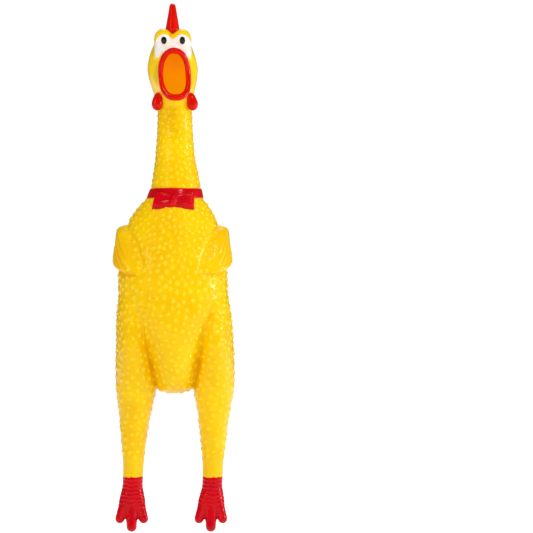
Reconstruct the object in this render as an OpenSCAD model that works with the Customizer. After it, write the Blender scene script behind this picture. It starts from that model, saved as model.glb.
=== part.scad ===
// A rubber chicken: a hollow, soft skin moulded in one piece, with a reed squeaker in its neck.
// The skin is cut into bands here, so that the belly, neck, head, hips and ankles can bend.
// Heights run up from the tips of the toes, and the origin is where a hand holds the body.
// +X is the chicken's own left, -Y its front and +Z its head.

/* [Overall] */
// Height from the toe tips to the top of the comb
total_h = 400; // [360:1:440]
// Height of the middle of the hand's grip
grip_h = 190; // [170:1:210]
// Thickness of the moulded skin
wall = 2.2; // [1.6:0.1:3]

/* [Body] */
// Half the width of the body at the hips
hip_half_w = 42.6; // [38:0.2:46]
// How far the belly stands in front of the spine
belly_front = 34; // [28:0.5:38]
// How far the back stands behind the spine
back_depth = 27; // [22:0.5:30]
// Half the width of the part of the belly that a squeeze pushes in
press_half_w = 17; // [12:0.5:19]
// Half the height of that part
press_half_h = 23; // [16:0.5:26]
// Height of its centre
press_h = 172; // [165:1:178]

/* [Neck] */
// Radius of the neck where the head joins it
neck_r = 13; // [12.5:0.1:14]
// Radius of the neck at the foot of the collar
collar_r = 20.6; // [19:0.1:22]
// How far the collar stands proud of the neck
collar_proud = 1; // [0.6:0.1:2]

/* [Head] */
// Half the width of the head
head_half_w = 19; // [17:0.2:21]
// Half the width of the mouth's lips, measured to the middle of the lip
mouth_half_w = 10.3; // [9:0.1:11]
// Half their height
mouth_half_h = 17.5; // [16:0.1:18.5]
// How far the corners of the mouth stand in front of the spine
mouth_front = 26; // [24:0.5:28]
// How much further the two tips of the bill stand out
bill_bow = 6; // [3:0.5:8]

/* [Legs] */
// Half the distance between the two ankles
ankle_half_gap = 30; // [28:0.5:32]
// Radius of the ankle
ankle_r = 7.5; // [6.5:0.1:8.5]

/* [Squeaker] */
// Radius of the seat inside the neck
seat_r = 10.5; // [10:0.1:10.6]
// Length of the squeaker's barrel
barrel_l = 20; // [18:0.5:21]

/* [Hidden] */

YELLOW = [0.98, 0.80, 0.02];
FLEX_YELLOW = [0.94, 0.74, 0.02];
RED = [0.86, 0.05, 0.08];

DRAWN_H = 400;      // the heights below are drawn for this overall height
SEGMENTS = 32;      // sides of every level of the skin
LENS = 0.05;        // each level is a lens this much thick either way
FIT = 0.05;         // air between a raised piece and the skin that carries it
CUT = 0.1;          // air between two bands of the skin
FAR = 200;          // reaches past everything

// Where the skin is cut into bands
HIP_LOW = 91;
HIP_HIGH = 105;
ANKLE_LOW = 42;
ANKLE_HIGH = 51;
COLLAR_LOW = 253;
COLLAR_HIGH = 260;
NECK_LOW = 271;
NECK_HIGH = 308;
HEAD_LOW = 318;

NECK_TAPER = 2;     // how much thinner the neck is at the top of the collar than at its foot

// Levels of the skin: height, x of its middle, half width, depth in front, depth behind
BODY = [
    [105.6, 0, 8, 9, 8],
    [108, 0, 16.5, 18, 16],
    [113, 0, 19.5, 25, 20],
    [121, 0, 22, 30, 23.5],
    [135, 0, 26.5, belly_front - 1, back_depth - 1],
    [150, 0, 31, belly_front, back_depth],
    [163, 0, hip_half_w - 6, belly_front, back_depth],
    [176, 0, hip_half_w - 1.6, belly_front - 1, back_depth],
    [190, 0, hip_half_w - 1.2, belly_front - 2.5, back_depth - 1],
    [203, 0, 41, 30, 25],
    [213, 0, 40, 28.3, 24.4],
    [221, 0, 38.4, 26.5, 23.6],
    [229, 0, 36.2, 24.7, 22.8],
    [236, 0, 33.2, 23, 22],
    [241, 0, 30.2, 22, 21.4],
    [246, 0, 26.6, 21.2, 20.9],
    [250, 0, 23.2, 20.8, 20.7],
    [COLLAR_LOW, 0, collar_r, collar_r, collar_r]
];
NECK = [
    [COLLAR_HIGH, 0, collar_r - NECK_TAPER, collar_r - NECK_TAPER, collar_r - NECK_TAPER],
    [267, 0, neck_r + 4.7, neck_r + 4.7, neck_r + 4.7],
    [274, 0, neck_r + 3.5, neck_r + 3.6, neck_r + 3.6],
    [281, 0, neck_r + 2.1, neck_r + 2.3, neck_r + 2.3],
    [290, 0, neck_r + 1.4, neck_r + 1.5, neck_r + 1.5],
    [300, 0, neck_r + 0.6, neck_r + 0.7, neck_r + 0.8],
    [310, 0, neck_r + 0.1, neck_r, neck_r + 0.4],
    [HEAD_LOW, 0, neck_r - 0.1, neck_r - 0.2, neck_r + 0.6]
];
HEAD = [
    [HEAD_LOW, 0, neck_r - 0.1, neck_r - 0.2, neck_r + 0.6],
    [323, 0, neck_r + 0.2, neck_r, neck_r + 1.8],
    [329, 0, neck_r + 1.4, neck_r + 1.6, neck_r + 3.8],
    [335, 0, neck_r + 3, neck_r + 3, neck_r + 5.6],
    [342, 0, head_half_w - 1.2, 17.4, 20.6],
    [350, 0, head_half_w, 18, 21.6],
    [357, 0, head_half_w - 0.8, 17.8, 21.2],
    [364, 0, head_half_w - 2.8, 16.8, 19.2],
    [370, 0, head_half_w - 5.6, 15, 16.6],
    [375, 0, 9.8, 12, 13],
    [378.5, 0, 5.6, 7, 8]
];
LEG = [
    [184, 30.2, 6, 14, 11],
    [168, 30.6, 12, 22.6, 18],
    [150, 30.4, 13.6, 25.5, 20],
    [135, 30.3, 14.1, 24.4, 19],
    [120, 29.7, 15.1, 20.2, 17.1],
    [107, 29.3, 14.9, 15.8, 15],
    [98, 29.4, 13.3, 13.6, 13.2],
    [89, 29.6, 11.7, 12, 11.6],
    [80, ankle_half_gap - 0.2, ankle_r + 3, ankle_r + 3.3, ankle_r + 2.9],
    [70, ankle_half_gap, ankle_r + 1.8, ankle_r + 2.2, ankle_r + 1.8],
    [60, ankle_half_gap, ankle_r + 0.9, ankle_r + 1.2, ankle_r + 0.9],
    [50, ankle_half_gap, ankle_r + 0.3, ankle_r + 0.4, ankle_r + 0.2],
    [41, ankle_half_gap, ankle_r, ankle_r, ankle_r - 0.2],
    [35, ankle_half_gap, ankle_r - 0.1, ankle_r - 0.3, ankle_r - 0.7],
    [29, ankle_half_gap, ankle_r + 0.5, ankle_r - 0.5, ankle_r - 1.7]
];

MOUTH_H = 345;          // height of the middle of the mouth
LIP_SIDE_R = 1.8;       // the lips are thinnest at the corners,
LIP_TOP_R = 2.15;       // thicker on the upper bill
LIP_LOW_R = 2.45;       // and thickest on the lower one
LIP_STEPS = 24;
// Half width, half height and depth of the ring where the bill leaves the face
BILL_ROOT = [15, 19.8, 9];
TOE_R = 4;
TOE_SPREAD = 8.4;
TOE_SIDE_H = 6;         // the two outer toes end this much above the middle one
SEAT_LOW = 283;
BARREL_LOW = 285;
BARREL_R = seat_r - 0.15;
BARREL_WALL = 1.2;
BARREL_FLOOR = 1.5;
CAP_T = 2;
CAP_HOLE_R = 1.3;
REED_SEAT = BARREL_LOW + BARREL_FLOOR + 0.1;    // where the reed's parts stand in the barrel
SLOT_W = 3.2;               // width of the slot that the reed beats over
FRAME = [7, 4, 14];         // the block with that slot
WEDGE = [5.6, 1.8, 2.6];    // holds the reed's root
REED = [5, 0.3, 12];
REED_Y = -0.55;             // the reed's front face, just off the block

// Puts a shape drawn in heights above the toes into the part's own frame
module placed() {
    scale(total_h / DRAWN_H) translate([0, 0, -grip_h]) children();
}

// A level's outline, grown outwards by g
function ring(s, g) = [
    for (i = [0:SEGMENTS - 1])
        let (a = 360 * i / SEGMENTS, depth = sin(a) < 0 ? s[3] : s[4])
        [s[1] + (s[2] + g) * cos(a), (depth + g) * sin(a), s[0]]
];

module level(s, g) {
    tips = [[s[1], 0, s[0] - LENS], [s[1], 0, s[0] + LENS]];
    under = [for (i = [0:SEGMENTS - 1]) [i, (i + 1) % SEGMENTS, SEGMENTS]];
    over = [for (i = [0:SEGMENTS - 1]) [(i + 1) % SEGMENTS, i, SEGMENTS + 1]];
    polyhedron(concat(ring(s, g), tips), concat(under, over));
}

// A solid through a list of levels
module loft(levels, g = 0) {
    for (i = [0:len(levels) - 2])
        hull() {
            level(levels[i], g);
            level(levels[i + 1], g);
        }
}

module slab(low, high) {
    translate([-FAR, -FAR, low]) cube([2 * FAR, 2 * FAR, high - low]);
}

// One band of a hollow limb, between two heights
module band(levels, low, high) {
    intersection() {
        difference() {
            loft(levels);
            loft(levels, -wall);
        }
        slab(low + CUT / 2, high - CUT / 2);
    }
}

module both_sides() {
    children();
    mirror([1, 0, 0]) children();
}

module trunk(g) {
    loft(concat(BODY, [NECK[0], NECK[1]]), g);
    both_sides() loft([for (s = LEG) if (s[0] > HIP_LOW) s], g);
}

module trunk_hollow() {
    loft(concat([for (s = BODY) if (s[0] > BODY[0][0] + wall) s], [NECK[0], NECK[1]]), -wall);
    both_sides() loft([for (s = LEG) if (s[0] > HIP_LOW) s], -wall);
}

// A straight oval hole from the front, for the part of the belly that moves
module press_prism(grow) {
    translate([0, 0, press_h]) rotate([90, 0, 0])
        linear_extrude(FAR) scale([press_half_w + grow, press_half_h + grow]) circle(r = 1, $fn = 40);
}

PRESS_RIM = 5;      // width of the bending ring round the pressed part

// The skin inside that oval, grown by so much
module front_skin(grow) {
    intersection() {
        difference() {
            trunk(0);
            trunk_hollow();
        }
        press_prism(grow);
    }
}

module torso_shell() {
    color(YELLOW) placed() difference() {
        intersection() {
            trunk(0);
            slab(HIP_HIGH + CUT / 2, COLLAR_HIGH - CUT / 2);
        }
        trunk_hollow();
        press_prism(PRESS_RIM);
    }
}

module belly_panel() {
    color(YELLOW) placed() front_skin(0);
}

module belly_flex() {
    color(FLEX_YELLOW) placed() difference() {
        front_skin(PRESS_RIM - CUT);
        translate([0, 1, 0]) press_prism(CUT);
    }
}

// The wing's outline from the side: shoulder at the top and back, tip low and in front
WING = [
    [-23, 196], [-21, 207], [-15, 221], [-6, 231], [5, 234.5], [15, 230],
    [19, 219], [16, 208], [8, 200], [-4, 197.5], [-14, 195]
];
WING_PROUD = 3.9;
WING_INNER_X = 20;      // no part of a wing is nearer to the middle than this

module wing() {
    difference() {
        intersection() {
            trunk(WING_PROUD);
            rotate([90, 0, 90]) linear_extrude(FAR) polygon(WING);
        }
        trunk(FIT);
        translate([-FAR, -FAR, 0]) cube([FAR + WING_INNER_X, 2 * FAR, 2 * FAR]);
    }
}

module left_wing() {
    color(YELLOW) placed() wing();
}

module right_wing() {
    color(YELLOW) placed() mirror([1, 0, 0]) wing();
}

module collar_ring(inner, outer) {
    rotate_extrude($fn = 96) polygon([
        [collar_r + inner, COLLAR_LOW + CUT],
        [collar_r + outer, COLLAR_LOW + CUT],
        [collar_r - NECK_TAPER + outer, COLLAR_HIGH - CUT],
        [collar_r - NECK_TAPER + inner, COLLAR_HIGH - CUT]
    ]);
}

module collar_band() {
    color(RED) placed() collar_ring(0.2, collar_proud);
}

// Balls that one end of the bow is stretched over: middle and radius
BOW_KNOT = [[2, -20, 251], 4];
BOW_LOW_TIP = [[12.2, -19, 247.4], 3.4];
BOW_HIGH_TIP = [[12.2, -17.5, 256], 2.6];

// One end of the bow: a soft block that widens away from the knot
module bow_end() {
    hull() {
        translate(BOW_KNOT[0]) scale([1, 1, 1.5]) sphere(r = BOW_KNOT[1], $fn = 16);
        for (ball = [BOW_LOW_TIP, BOW_HIGH_TIP])
            translate(ball[0]) sphere(r = ball[1], $fn = 16);
    }
}

module bow_tie() {
    color(RED) placed() difference() {
        both_sides() bow_end();
        trunk(FIT);
        collar_ring(-NECK_TAPER * 3, collar_proud + FIT);
    }
}

module neck_base_flex() {
    color(FLEX_YELLOW) placed() band(concat([BODY[len(BODY) - 1]], NECK), COLLAR_HIGH, NECK_LOW);
}

module neck_tube() {
    color(YELLOW) placed() difference() {
        intersection() {
            loft(NECK);
            slab(NECK_LOW + CUT / 2, NECK_HIGH - CUT / 2);
        }
        intersection() {
            loft(NECK, -wall);
            slab(NECK_LOW - 1, SEAT_LOW);
        }
        translate([0, 0, SEAT_LOW - 1]) cylinder(r = seat_r, h = 40, $fn = 64);
    }
}

module throat_flex() {
    color(FLEX_YELLOW) placed() band(concat(NECK, [HEAD[1]]), NECK_HIGH, HEAD_LOW);
}

module squeaker_barrel() {
    color([0.93, 0.93, 0.90]) placed() translate([0, 0, BARREL_LOW]) difference() {
        cylinder(r = BARREL_R, h = barrel_l);
        translate([0, 0, BARREL_FLOOR]) cylinder(r = BARREL_R - BARREL_WALL, h = barrel_l);
        translate([-SLOT_W / 2, 0.6, -1]) cube([SLOT_W, 2, 4]);
    }
}

module reed_frame() {
    color([0.85, 0.85, 0.82]) placed() translate([0, 0, REED_SEAT]) difference() {
        translate([-FRAME[0] / 2, 0, 0]) cube(FRAME);
        translate([-SLOT_W / 2, -1, -1]) cube([SLOT_W, 3.6, FRAME[2] - 1]);
    }
}

module reed_wedge() {
    color([0.80, 0.80, 0.78]) placed()
        translate([-WEDGE[0] / 2, REED_Y - 0.25 - WEDGE[1], REED_SEAT]) cube(WEDGE);
}

module squeaker_reed() {
    color([0.75, 0.75, 0.72]) placed()
        translate([-REED[0] / 2, REED_Y, REED_SEAT + WEDGE[2] - 0.6]) cube(REED);
}

module squeaker_cap() {
    color([0.93, 0.93, 0.90]) placed() translate([0, 0, BARREL_LOW + barrel_l - CAP_T]) difference() {
        cylinder(r = BARREL_R - BARREL_WALL - 0.1, h = CAP_T);
        for (a = [0:60:300])
            rotate(a) translate([5, 0, -1]) cylinder(r = CAP_HOLE_R, h = CAP_T + 2);
        translate([0, 0, -1]) cylinder(r = CAP_HOLE_R + 0.3, h = CAP_T + 2);
    }
}

// The egg shapes that make each eye mound: middle and half sizes
EYE_EGGS = [[[6.9, -8, 372.4], [7.2, 9, 8.4]], [[9.6, -9, 361], [5.6, 8.6, 6]]];
WATTLE_EGGS = [[[12.8, -8.8, 323.7], [4.2, 3, 5]], [[12.6, -8.4, 329.8], [2.4, 2.6, 2.6]]];
PUPIL = [7, 371.2];             // x and height of its middle
PUPIL_SIZE = [2.1, 2.8];        // its half width and half height
WHITE_T = 0.5;                  // thickness of the white of an eye
PUPIL_T = 0.35;

module egg(e, g) {
    translate(e[0]) scale(e[1] + [g, g, g]) sphere(r = 1, $fn = 24);
}

// The two mounds that the eyes are painted on
module eye_mounds(g) {
    both_sides() hull() for (e = EYE_EGGS) egg(e, g);
}

// A place on the middle line of the lips, t degrees round from the chicken's left
function lip_at(t) = [
    mouth_half_w * cos(t),
    -mouth_front - bill_bow * pow(sin(t), 2),
    MOUTH_H + mouth_half_h * sin(t)
];

function lip_r(t) = LIP_SIDE_R
    + (sin(t) > 0 ? LIP_TOP_R - LIP_SIDE_R : LIP_LOW_R - LIP_SIDE_R) * pow(sin(t), 2);

function bill_root(t) = [BILL_ROOT[0] * cos(t), -BILL_ROOT[2], MOUTH_H + BILL_ROOT[1] * sin(t)];

module bead(p, r) {
    translate(p) sphere(r = r, $fn = 10);
}

module lips(g) {
    for (k = [0:LIP_STEPS - 1])
        hull() for (t = [k, k + 1] * 360 / LIP_STEPS) bead(lip_at(t), lip_r(t) + g);
}

// The wall of the open bill, from the face out to the lips
module bill() {
    for (k = [0:LIP_STEPS - 1])
        hull() for (t = [k, k + 1] * 360 / LIP_STEPS) {
            bead(lip_at(t) + [0, 1.6, 0], 1.3);
            bead(bill_root(t), 1.5);
        }
}

module face(g) {
    loft(HEAD, g);
    eye_mounds(g);
}

module mouth_hole() {
    translate([0, 0, MOUTH_H]) rotate([90, 0, 0])
        linear_extrude(FAR) scale([BILL_ROOT[0] - 2.5, BILL_ROOT[1] - 2.5]) circle(r = 1, $fn = 40);
}

module head_shell() {
    color(YELLOW) placed() difference() {
        union() {
            difference() {
                intersection() {
                    face(0);
                    slab(HEAD_LOW + CUT / 2, FAR * 2);
                }
                mouth_hole();
            }
            bill();
        }
        loft([for (s = HEAD) if (s[0] < 376) s], -wall);
        lips(FIT);
    }
}

module beak_lips() {
    color(RED) placed() lips(0);
}

// The comb's points from front to back: y and height of the middle of the tip, and its radius
COMB_POINTS = [[-9, 396.6, 2.2], [-0.5, 397.8, 2.2], [8, 392.5, 2.2], [15, 385, 2.1]];
COMB_ROOT_H = 377;
COMB_ROOT = [4.3, 6.5, 5];      // half width, length and height of each point's root

module crest(g) {
    for (p = COMB_POINTS)
        hull() {
            translate([0, p[0], p[1]]) scale([1, 1.2, 1]) sphere(r = p[2] + g, $fn = 16);
            translate([0, 0.85 * p[0] + 0.5, COMB_ROOT_H])
                scale(COMB_ROOT + [g, g, g]) sphere(r = 1, $fn = 20);
        }
}

module comb() {
    color(RED) placed() difference() {
        crest(0);
        face(FIT);
        slab(0, 370);
    }
}

module wattle() {
    difference() {
        hull() for (e = WATTLE_EGGS) egg(e, 0);
        face(FIT);
        bill();
        slab(0, HEAD_LOW + CUT);
    }
}

module left_wattle() {
    color(RED) placed() wattle();
}

module right_wattle() {
    color(RED) placed() mirror([1, 0, 0]) wattle();
}

// Outline of one eye's white from the front, clear of the other one
module white_outline() {
    hull() {
        translate([6.7, 369.8]) circle(r = 6.3, $fn = 32);
        translate([11, 361.2]) circle(r = 2.6, $fn = 24);
    }
    translate([FIT, 367.5]) square([6, 6.3]);
}

module from_front() {
    translate([0, -2, 0]) rotate([90, 0, 0]) linear_extrude(FAR) children();
}

module eye_white() {
    difference() {
        intersection() {
            face(WHITE_T);
            from_front() white_outline();
        }
        face(FIT);
        bill();
        lips(FIT);
        crest(FIT);
    }
}

module left_eye_white() {
    color("white") placed() eye_white();
}

module right_eye_white() {
    color("white") placed() mirror([1, 0, 0]) eye_white();
}

module pupil() {
    difference() {
        intersection() {
            face(WHITE_T + FIT + PUPIL_T);
            from_front() translate(PUPIL) scale(PUPIL_SIZE) circle(r = 1, $fn = 32);
        }
        face(WHITE_T + FIT);
    }
}

module left_pupil() {
    color([0.05, 0.05, 0.05]) placed() pupil();
}

module right_pupil() {
    color([0.05, 0.05, 0.05]) placed() mirror([1, 0, 0]) pupil();
}

// A toe of radius r whose tip lies x to the side of the ankle, y behind it and h above the ground
module toe(x, y, h, r) {
    hull() {
        translate([ankle_half_gap + x * 0.1, -0.5, 28.5])
            scale([ankle_r, 6.2, 5]) sphere(r = 1, $fn = 20);
        translate([ankle_half_gap + x * 0.5, y * 0.6, 14]) sphere(r = r, $fn = 16);
        translate([ankle_half_gap + x, y, h + r]) sphere(r = r, $fn = 16);
    }
}

module foot() {
    intersection() {
        loft([for (s = LEG) if (s[0] < ANKLE_HIGH) s]);
        slab(0, ANKLE_LOW - CUT / 2);
    }
    toe(-TOE_SPREAD, -2, TOE_SIDE_H, TOE_R);
    toe(TOE_SPREAD, -2, TOE_SIDE_H, TOE_R);
    toe(0, -3.5, 0, TOE_R + 0.3);
}

module left_hip_flex() {
    color(FLEX_YELLOW) placed() band(LEG, HIP_LOW, HIP_HIGH);
}

module right_hip_flex() {
    color(FLEX_YELLOW) placed() mirror([1, 0, 0]) band(LEG, HIP_LOW, HIP_HIGH);
}

module left_leg() {
    color(YELLOW) placed() band(LEG, ANKLE_HIGH, HIP_LOW);
}

module right_leg() {
    color(YELLOW) placed() mirror([1, 0, 0]) band(LEG, ANKLE_HIGH, HIP_LOW);
}

module left_ankle_flex() {
    color(FLEX_YELLOW) placed() band(LEG, ANKLE_LOW, ANKLE_HIGH);
}

module right_ankle_flex() {
    color(FLEX_YELLOW) placed() mirror([1, 0, 0]) band(LEG, ANKLE_LOW, ANKLE_HIGH);
}

module left_foot() {
    color(RED) placed() foot();
}

module right_foot() {
    color(RED) placed() mirror([1, 0, 0]) foot();
}

torso_shell();
belly_panel();
belly_flex();
left_wing();
right_wing();
collar_band();
bow_tie();
neck_base_flex();
neck_tube();
throat_flex();
squeaker_barrel();
reed_frame();
reed_wedge();
squeaker_reed();
squeaker_cap();
head_shell();
beak_lips();
comb();
left_wattle();
right_wattle();
left_eye_white();
right_eye_white();
left_pupil();
right_pupil();
left_hip_flex();
left_leg();
left_ankle_flex();
left_foot();
right_hip_flex();
right_leg();
right_ankle_flex();
right_foot();
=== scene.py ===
"""The looks of a rubber chicken, built round its CAD frame.

The skin is one field of distances, meshed as a whole, given its bumps, and then split into thick pieces
where the colour changes or the rubber bends. Shapes are written in millimetres above the toe tips,
with +x to the chicken's left and -y to its front, and put into the frame by to_frame().
"""
import math

import bpy
import numpy as np
import openvdb
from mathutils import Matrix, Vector
from mathutils.kdtree import KDTree


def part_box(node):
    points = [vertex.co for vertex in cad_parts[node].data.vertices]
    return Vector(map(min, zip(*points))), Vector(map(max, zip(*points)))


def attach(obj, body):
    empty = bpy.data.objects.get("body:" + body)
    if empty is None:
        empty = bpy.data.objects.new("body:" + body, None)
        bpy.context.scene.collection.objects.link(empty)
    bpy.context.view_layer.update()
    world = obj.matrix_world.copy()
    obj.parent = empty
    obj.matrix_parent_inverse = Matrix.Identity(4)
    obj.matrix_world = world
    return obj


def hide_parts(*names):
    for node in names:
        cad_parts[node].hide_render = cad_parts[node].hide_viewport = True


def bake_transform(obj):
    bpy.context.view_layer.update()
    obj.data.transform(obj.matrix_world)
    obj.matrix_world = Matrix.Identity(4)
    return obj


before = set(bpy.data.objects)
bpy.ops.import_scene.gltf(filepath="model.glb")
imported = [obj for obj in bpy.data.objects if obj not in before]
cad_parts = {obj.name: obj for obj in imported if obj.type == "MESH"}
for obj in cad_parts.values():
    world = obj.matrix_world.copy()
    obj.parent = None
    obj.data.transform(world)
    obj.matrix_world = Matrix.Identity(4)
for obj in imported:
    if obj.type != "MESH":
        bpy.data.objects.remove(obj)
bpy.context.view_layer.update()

MM = 0.001
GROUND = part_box("left_foot")[0].z       # the toe tips
WALL = 2.2                              # thickness of the skin
VOXEL = 0.75                            # size of the skin's mesh
FINE = 0.4                              # size of the mesh of the small parts
FINEST = 0.3                            # size of the mesh of the pupils
SEED = 7


def heights(node):
    """Bottom and top of a CAD node, in millimetres above the toe tips."""
    low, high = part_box(node)
    return (low.z - GROUND) / MM, (high.z - GROUND) / MM


# Taken from the CAD
HIP_TOP = heights("left_hip_flex")[1]
PAINT_H = heights("left_ankle_flex")[0]     # the edge of the red paint on the legs
THROAT_LOW, THROAT_TOP = heights("throat_flex")
COLLAR_LOW, COLLAR_TOP = heights("collar_band")
ANKLE_X = (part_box("left_ankle_flex")[0].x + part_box("left_ankle_flex")[1].x) / 2 / MM
MOUTH_H = sum(heights("beak_lips")) / 2
COLLAR_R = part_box("collar_band")[1].x / MM

# Levels of the skin: height, x of the middle, half width, depth in front, depth behind
TRUNK = [
    (105.4, 0, 4, 6, 6), (106.2, 0, 9, 11, 11), (108, 0, 12.5, 16, 16), (113, 0, 14.8, 22.5, 20),
    (121, 0, 17.2, 27.5, 23.5), (135, 0, 22, 31.5, 26), (150, 0, 29, 33.5, 27), (163, 0, 36, 34, 27),
    (176, 0, 40.6, 33, 27), (190, 0, 41.2, 31.5, 26), (203, 0, 40.6, 30, 25), (213, 0, 39.6, 28.3, 24.4),
    (221, 0, 38.2, 26.5, 23.6), (229, 0, 36, 24.7, 22.8), (236, 0, 33, 23, 22), (241, 0, 30, 22, 21.4),
    (246, 0, 26.5, 21.2, 20.9), (250, 0, 23.3, 20.8, 20.7), (253, 0, 20.6, 20.6, 20.6),
    (260, 0, 18.6, 18.6, 18.6), (267, 0, 17.6, 17.6, 17.6), (274, 0, 16.4, 16.5, 16.5),
    (281, 0, 15.1, 15.3, 15.3), (290, 0, 14.3, 14.4, 14.4), (300, 0, 13.5, 13.6, 13.7),
    (310, 0, 13.1, 13, 13.4), (318, 0, 12.9, 12.8, 13.6), (323, 0, 13.2, 13, 14.8),
    (329, 0, 14.4, 14.6, 16.8), (335, 0, 16, 16, 18.6), (342, 0, 17.8, 17.4, 20.6),
    (350, 0, 19, 18, 21.6), (357, 0, 18.2, 17.8, 21.2), (364, 0, 16.2, 16.8, 19.2),
    (370, 0, 13.4, 15, 16.6), (375, 0, 9.8, 12, 13), (378, 0, 6, 7.5, 8.5), (379.4, 0, 2, 2.5, 3),
]
LEG = [
    (188, 30, 5, 12, 9), (176, 30.6, 10.6, 20, 16), (163, 30.6, 12.6, 24, 19), (150, 30.4, 13.5, 25.8, 20),
    (139, 30.4, 13.9, 25.8, 19.5), (128, 30.1, 14.6, 23.6, 18.3), (118, 29.6, 15.2, 20.4, 16.8),
    (107, 29.4, 15, 15.8, 15), (98, 29.6, 13.4, 13.6, 13.2), (89, 29.8, 11.8, 12, 11.6),
    (80, 30, 10.7, 10.8, 10.4), (70, 30.2, 9.6, 9.7, 9.3), (60, 30.2, 8.6, 8.7, 8.4),
    (50, 30.2, 7.9, 7.9, 7.7), (41, 30.2, 7.7, 7.5, 7.3), (35, 30.2, 7.7, 7.2, 6.8),
    (28, 30.2, 8.7, 6.8, 5.8), (22, 30, 9.6, 5.6, 4.6), (17, 30, 8, 4, 3.4),
]
# How far the middle of the soft toy leans to its left at some heights
LEAN_H = [0, 16, 44, 71, 98, 121, 153, 176, 190, 215, 239, 248, 256, 290, 318, 350, 400]
LEAN_X = [-2, -1.9, -0.8, -0.3, 0.5, 0.9, 0.4, -0.4, -0.9, -1.1, -0.6, 0.2, 1.1, 0.8, 0.6, -1, -1.5]
HEAD_TURN = 4.5                     # degrees towards its left

# The feet: x and y of each toe's tip from the ankle, height of its sole, radius of the tip
TOES = [(-9, -2, 6.2, 3.5), (9, -2, 6.2, 3.5), (0, -3.5, 0, 3.9)]
TOE_ROOT_H, TOE_ROOT_R = 27, 5.2

# The wings, in y and height
WING_SIDE = [
    (-24.5, 195.5), (-22.5, 206), (-18, 218), (-11, 228), (-3, 232.5), (8, 232),
    (17, 222), (17, 212), (9, 205), (-3, 201), (-14, 197),
]
WING_LOW, WING_HIGH = 180, 245      # the heights between which there is a wing
WING_INNER = 22                     # how far the wings stay from the middle of the breast
WING_PROUD, WING_EXTRA = 4.7, 1.1   # how far a wing stands off the body, and how much more at its shoulder
GROOVE_DEPTH, GROOVE_OUT, GROOVE_WIDTH = 0.9, 1.2, 1.3      # the groove round a wing
FEATHER_FOOT = (-23, 196)           # where the feathers start
FEATHER_UP, FEATHER_BACK = 0.77, 0.64           # the direction that they run in
FEATHER_HIGH = 0.5

# The head. Eggs are a middle and three radii, for the left side.
EYE_EGGS = [((6.9, -8, 372.4), (7.2, 9, 8.4)), ((9.6, -9, 361), (5.6, 8.6, 6))]
WATTLE_EGGS = [((13.4, -9.4, 323.7), (4.1, 3.9, 5)), ((12, -9.6, 329.4), (3, 3, 3.1))]
EYE_WHITE = [
    (-0.3, 364.4), (-0.3, 371.8), (1.5, 373.2), (3.4, 375), (6.4, 376), (9.4, 375.3), (11.8, 373.4),
    (13.2, 370.6), (13.9, 366.4), (14, 362.2), (13.3, 359), (12, 357.6), (10.3, 358.4), (8.5, 361),
    (4, 363.9),
]
PUPIL, PUPIL_R = (7, 371.2), (2.15, 2.85)       # x and height
BILL_ROOT_Y, BILL_LONG = -9, 17                 # where the bill leaves the face, and how far it reaches
BILL_HALF = (15, 19.8)                          # half its width and height at the face
BILL_TAPER = (3.6, 1.2)                         # how much of that is lost by the rim
RIM_BOW = 6                                     # how far the rim's top and bottom stand ahead of its middle
RIM_Y = BILL_ROOT_Y - BILL_LONG
RIM_HALF = (10.3, 17.5)                         # half the width and height of the lips' middle line
MOUTH_FLOOR = (11.2, 18.4)                      # half the width and height of the bill's open end
COMB = [(-9, 397.3, 2.4), (-0.5, 394, 2.5), (8, 390, 2.5), (15, 384.4, 2.4)]    # y, height, radius of a tip
COMB_ROOT_R = 5.2

# The bow tie
BOW_H, FOLD_H, SPREAD_H = 250, 247.9, 251.6     # its middle, its forward edge, and where its folds meet
BOW_END = 15.4                                  # half its width
BOW_THICK = 2.6                                 # half its thickness
BOW_ROUND = 1.5                                 # radius of its edges
KNOT = ((0, -22.2, 250.4), (2.3, 2.4, 4.4))

# The skin's relief: spacing and height of its bumps at some heights
SPACING_H = [40, 100, 150, 190, 215, 245, 262, 320, 400]
SPACING = [4.9, 4.8, 4.8, 4.7, 4.1, 3.8, 3.9, 3.8, 3.8]
BUMP_H = [40, 60, 110, 150, 240, 262, 320, 400]
BUMP_HIGH = [0.6, 0.72, 0.85, 0.94, 0.84, 0.66, 0.55, 0.48]
BUMP_R = 0.49                       # radius of a bump, as a part of the spacing
WRINKLE, WRINKLE_PITCH = 0.18, 3.05     # across the shanks
LUMP = 0.12                             # on the insteps
RING, RING_PITCH = 0.14, 1.9            # round the ankles

# Where the skin bends: from and to a height, and for the belly from and to a y
HIP_BEND = (81, HIP_TOP - 0.7)
ANKLE_BEND = (PAINT_H + 1.2, 56)
NECK_BEND = (COLLAR_TOP + 0.8, 279)
THROAT_BEND = (THROAT_LOW - 5, THROAT_TOP + 2)
BELLY_BEND = (-26.2, -36)
BELLY_LOW, BELLY_MIDDLE, BELLY_HIGH = 110, 172, 232
BEND_MARGIN = 0.6                   # how much shorter a bend is than the piece that bends


def curve(at, values, h):
    """A smooth curve through the values at the increasing positions at."""
    at, values = np.asarray(at, float), np.asarray(values, float)
    slope = np.gradient(values, at)
    i = np.clip(np.searchsorted(at, h) - 1, 0, len(at) - 2)
    step = at[i + 1] - at[i]
    t = np.clip((h - at[i]) / step, 0, 1)
    return (
        values[i] * (1 + 2 * t) * (1 - t) ** 2 + slope[i] * step * t * (1 - t) ** 2
        + values[i + 1] * t * t * (3 - 2 * t) - slope[i + 1] * step * t * t * (1 - t)
    )


def smoothstep(low, high, value):
    t = np.clip((value - low) / (high - low), 0, 1)
    return t * t * (3 - 2 * t)


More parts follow.
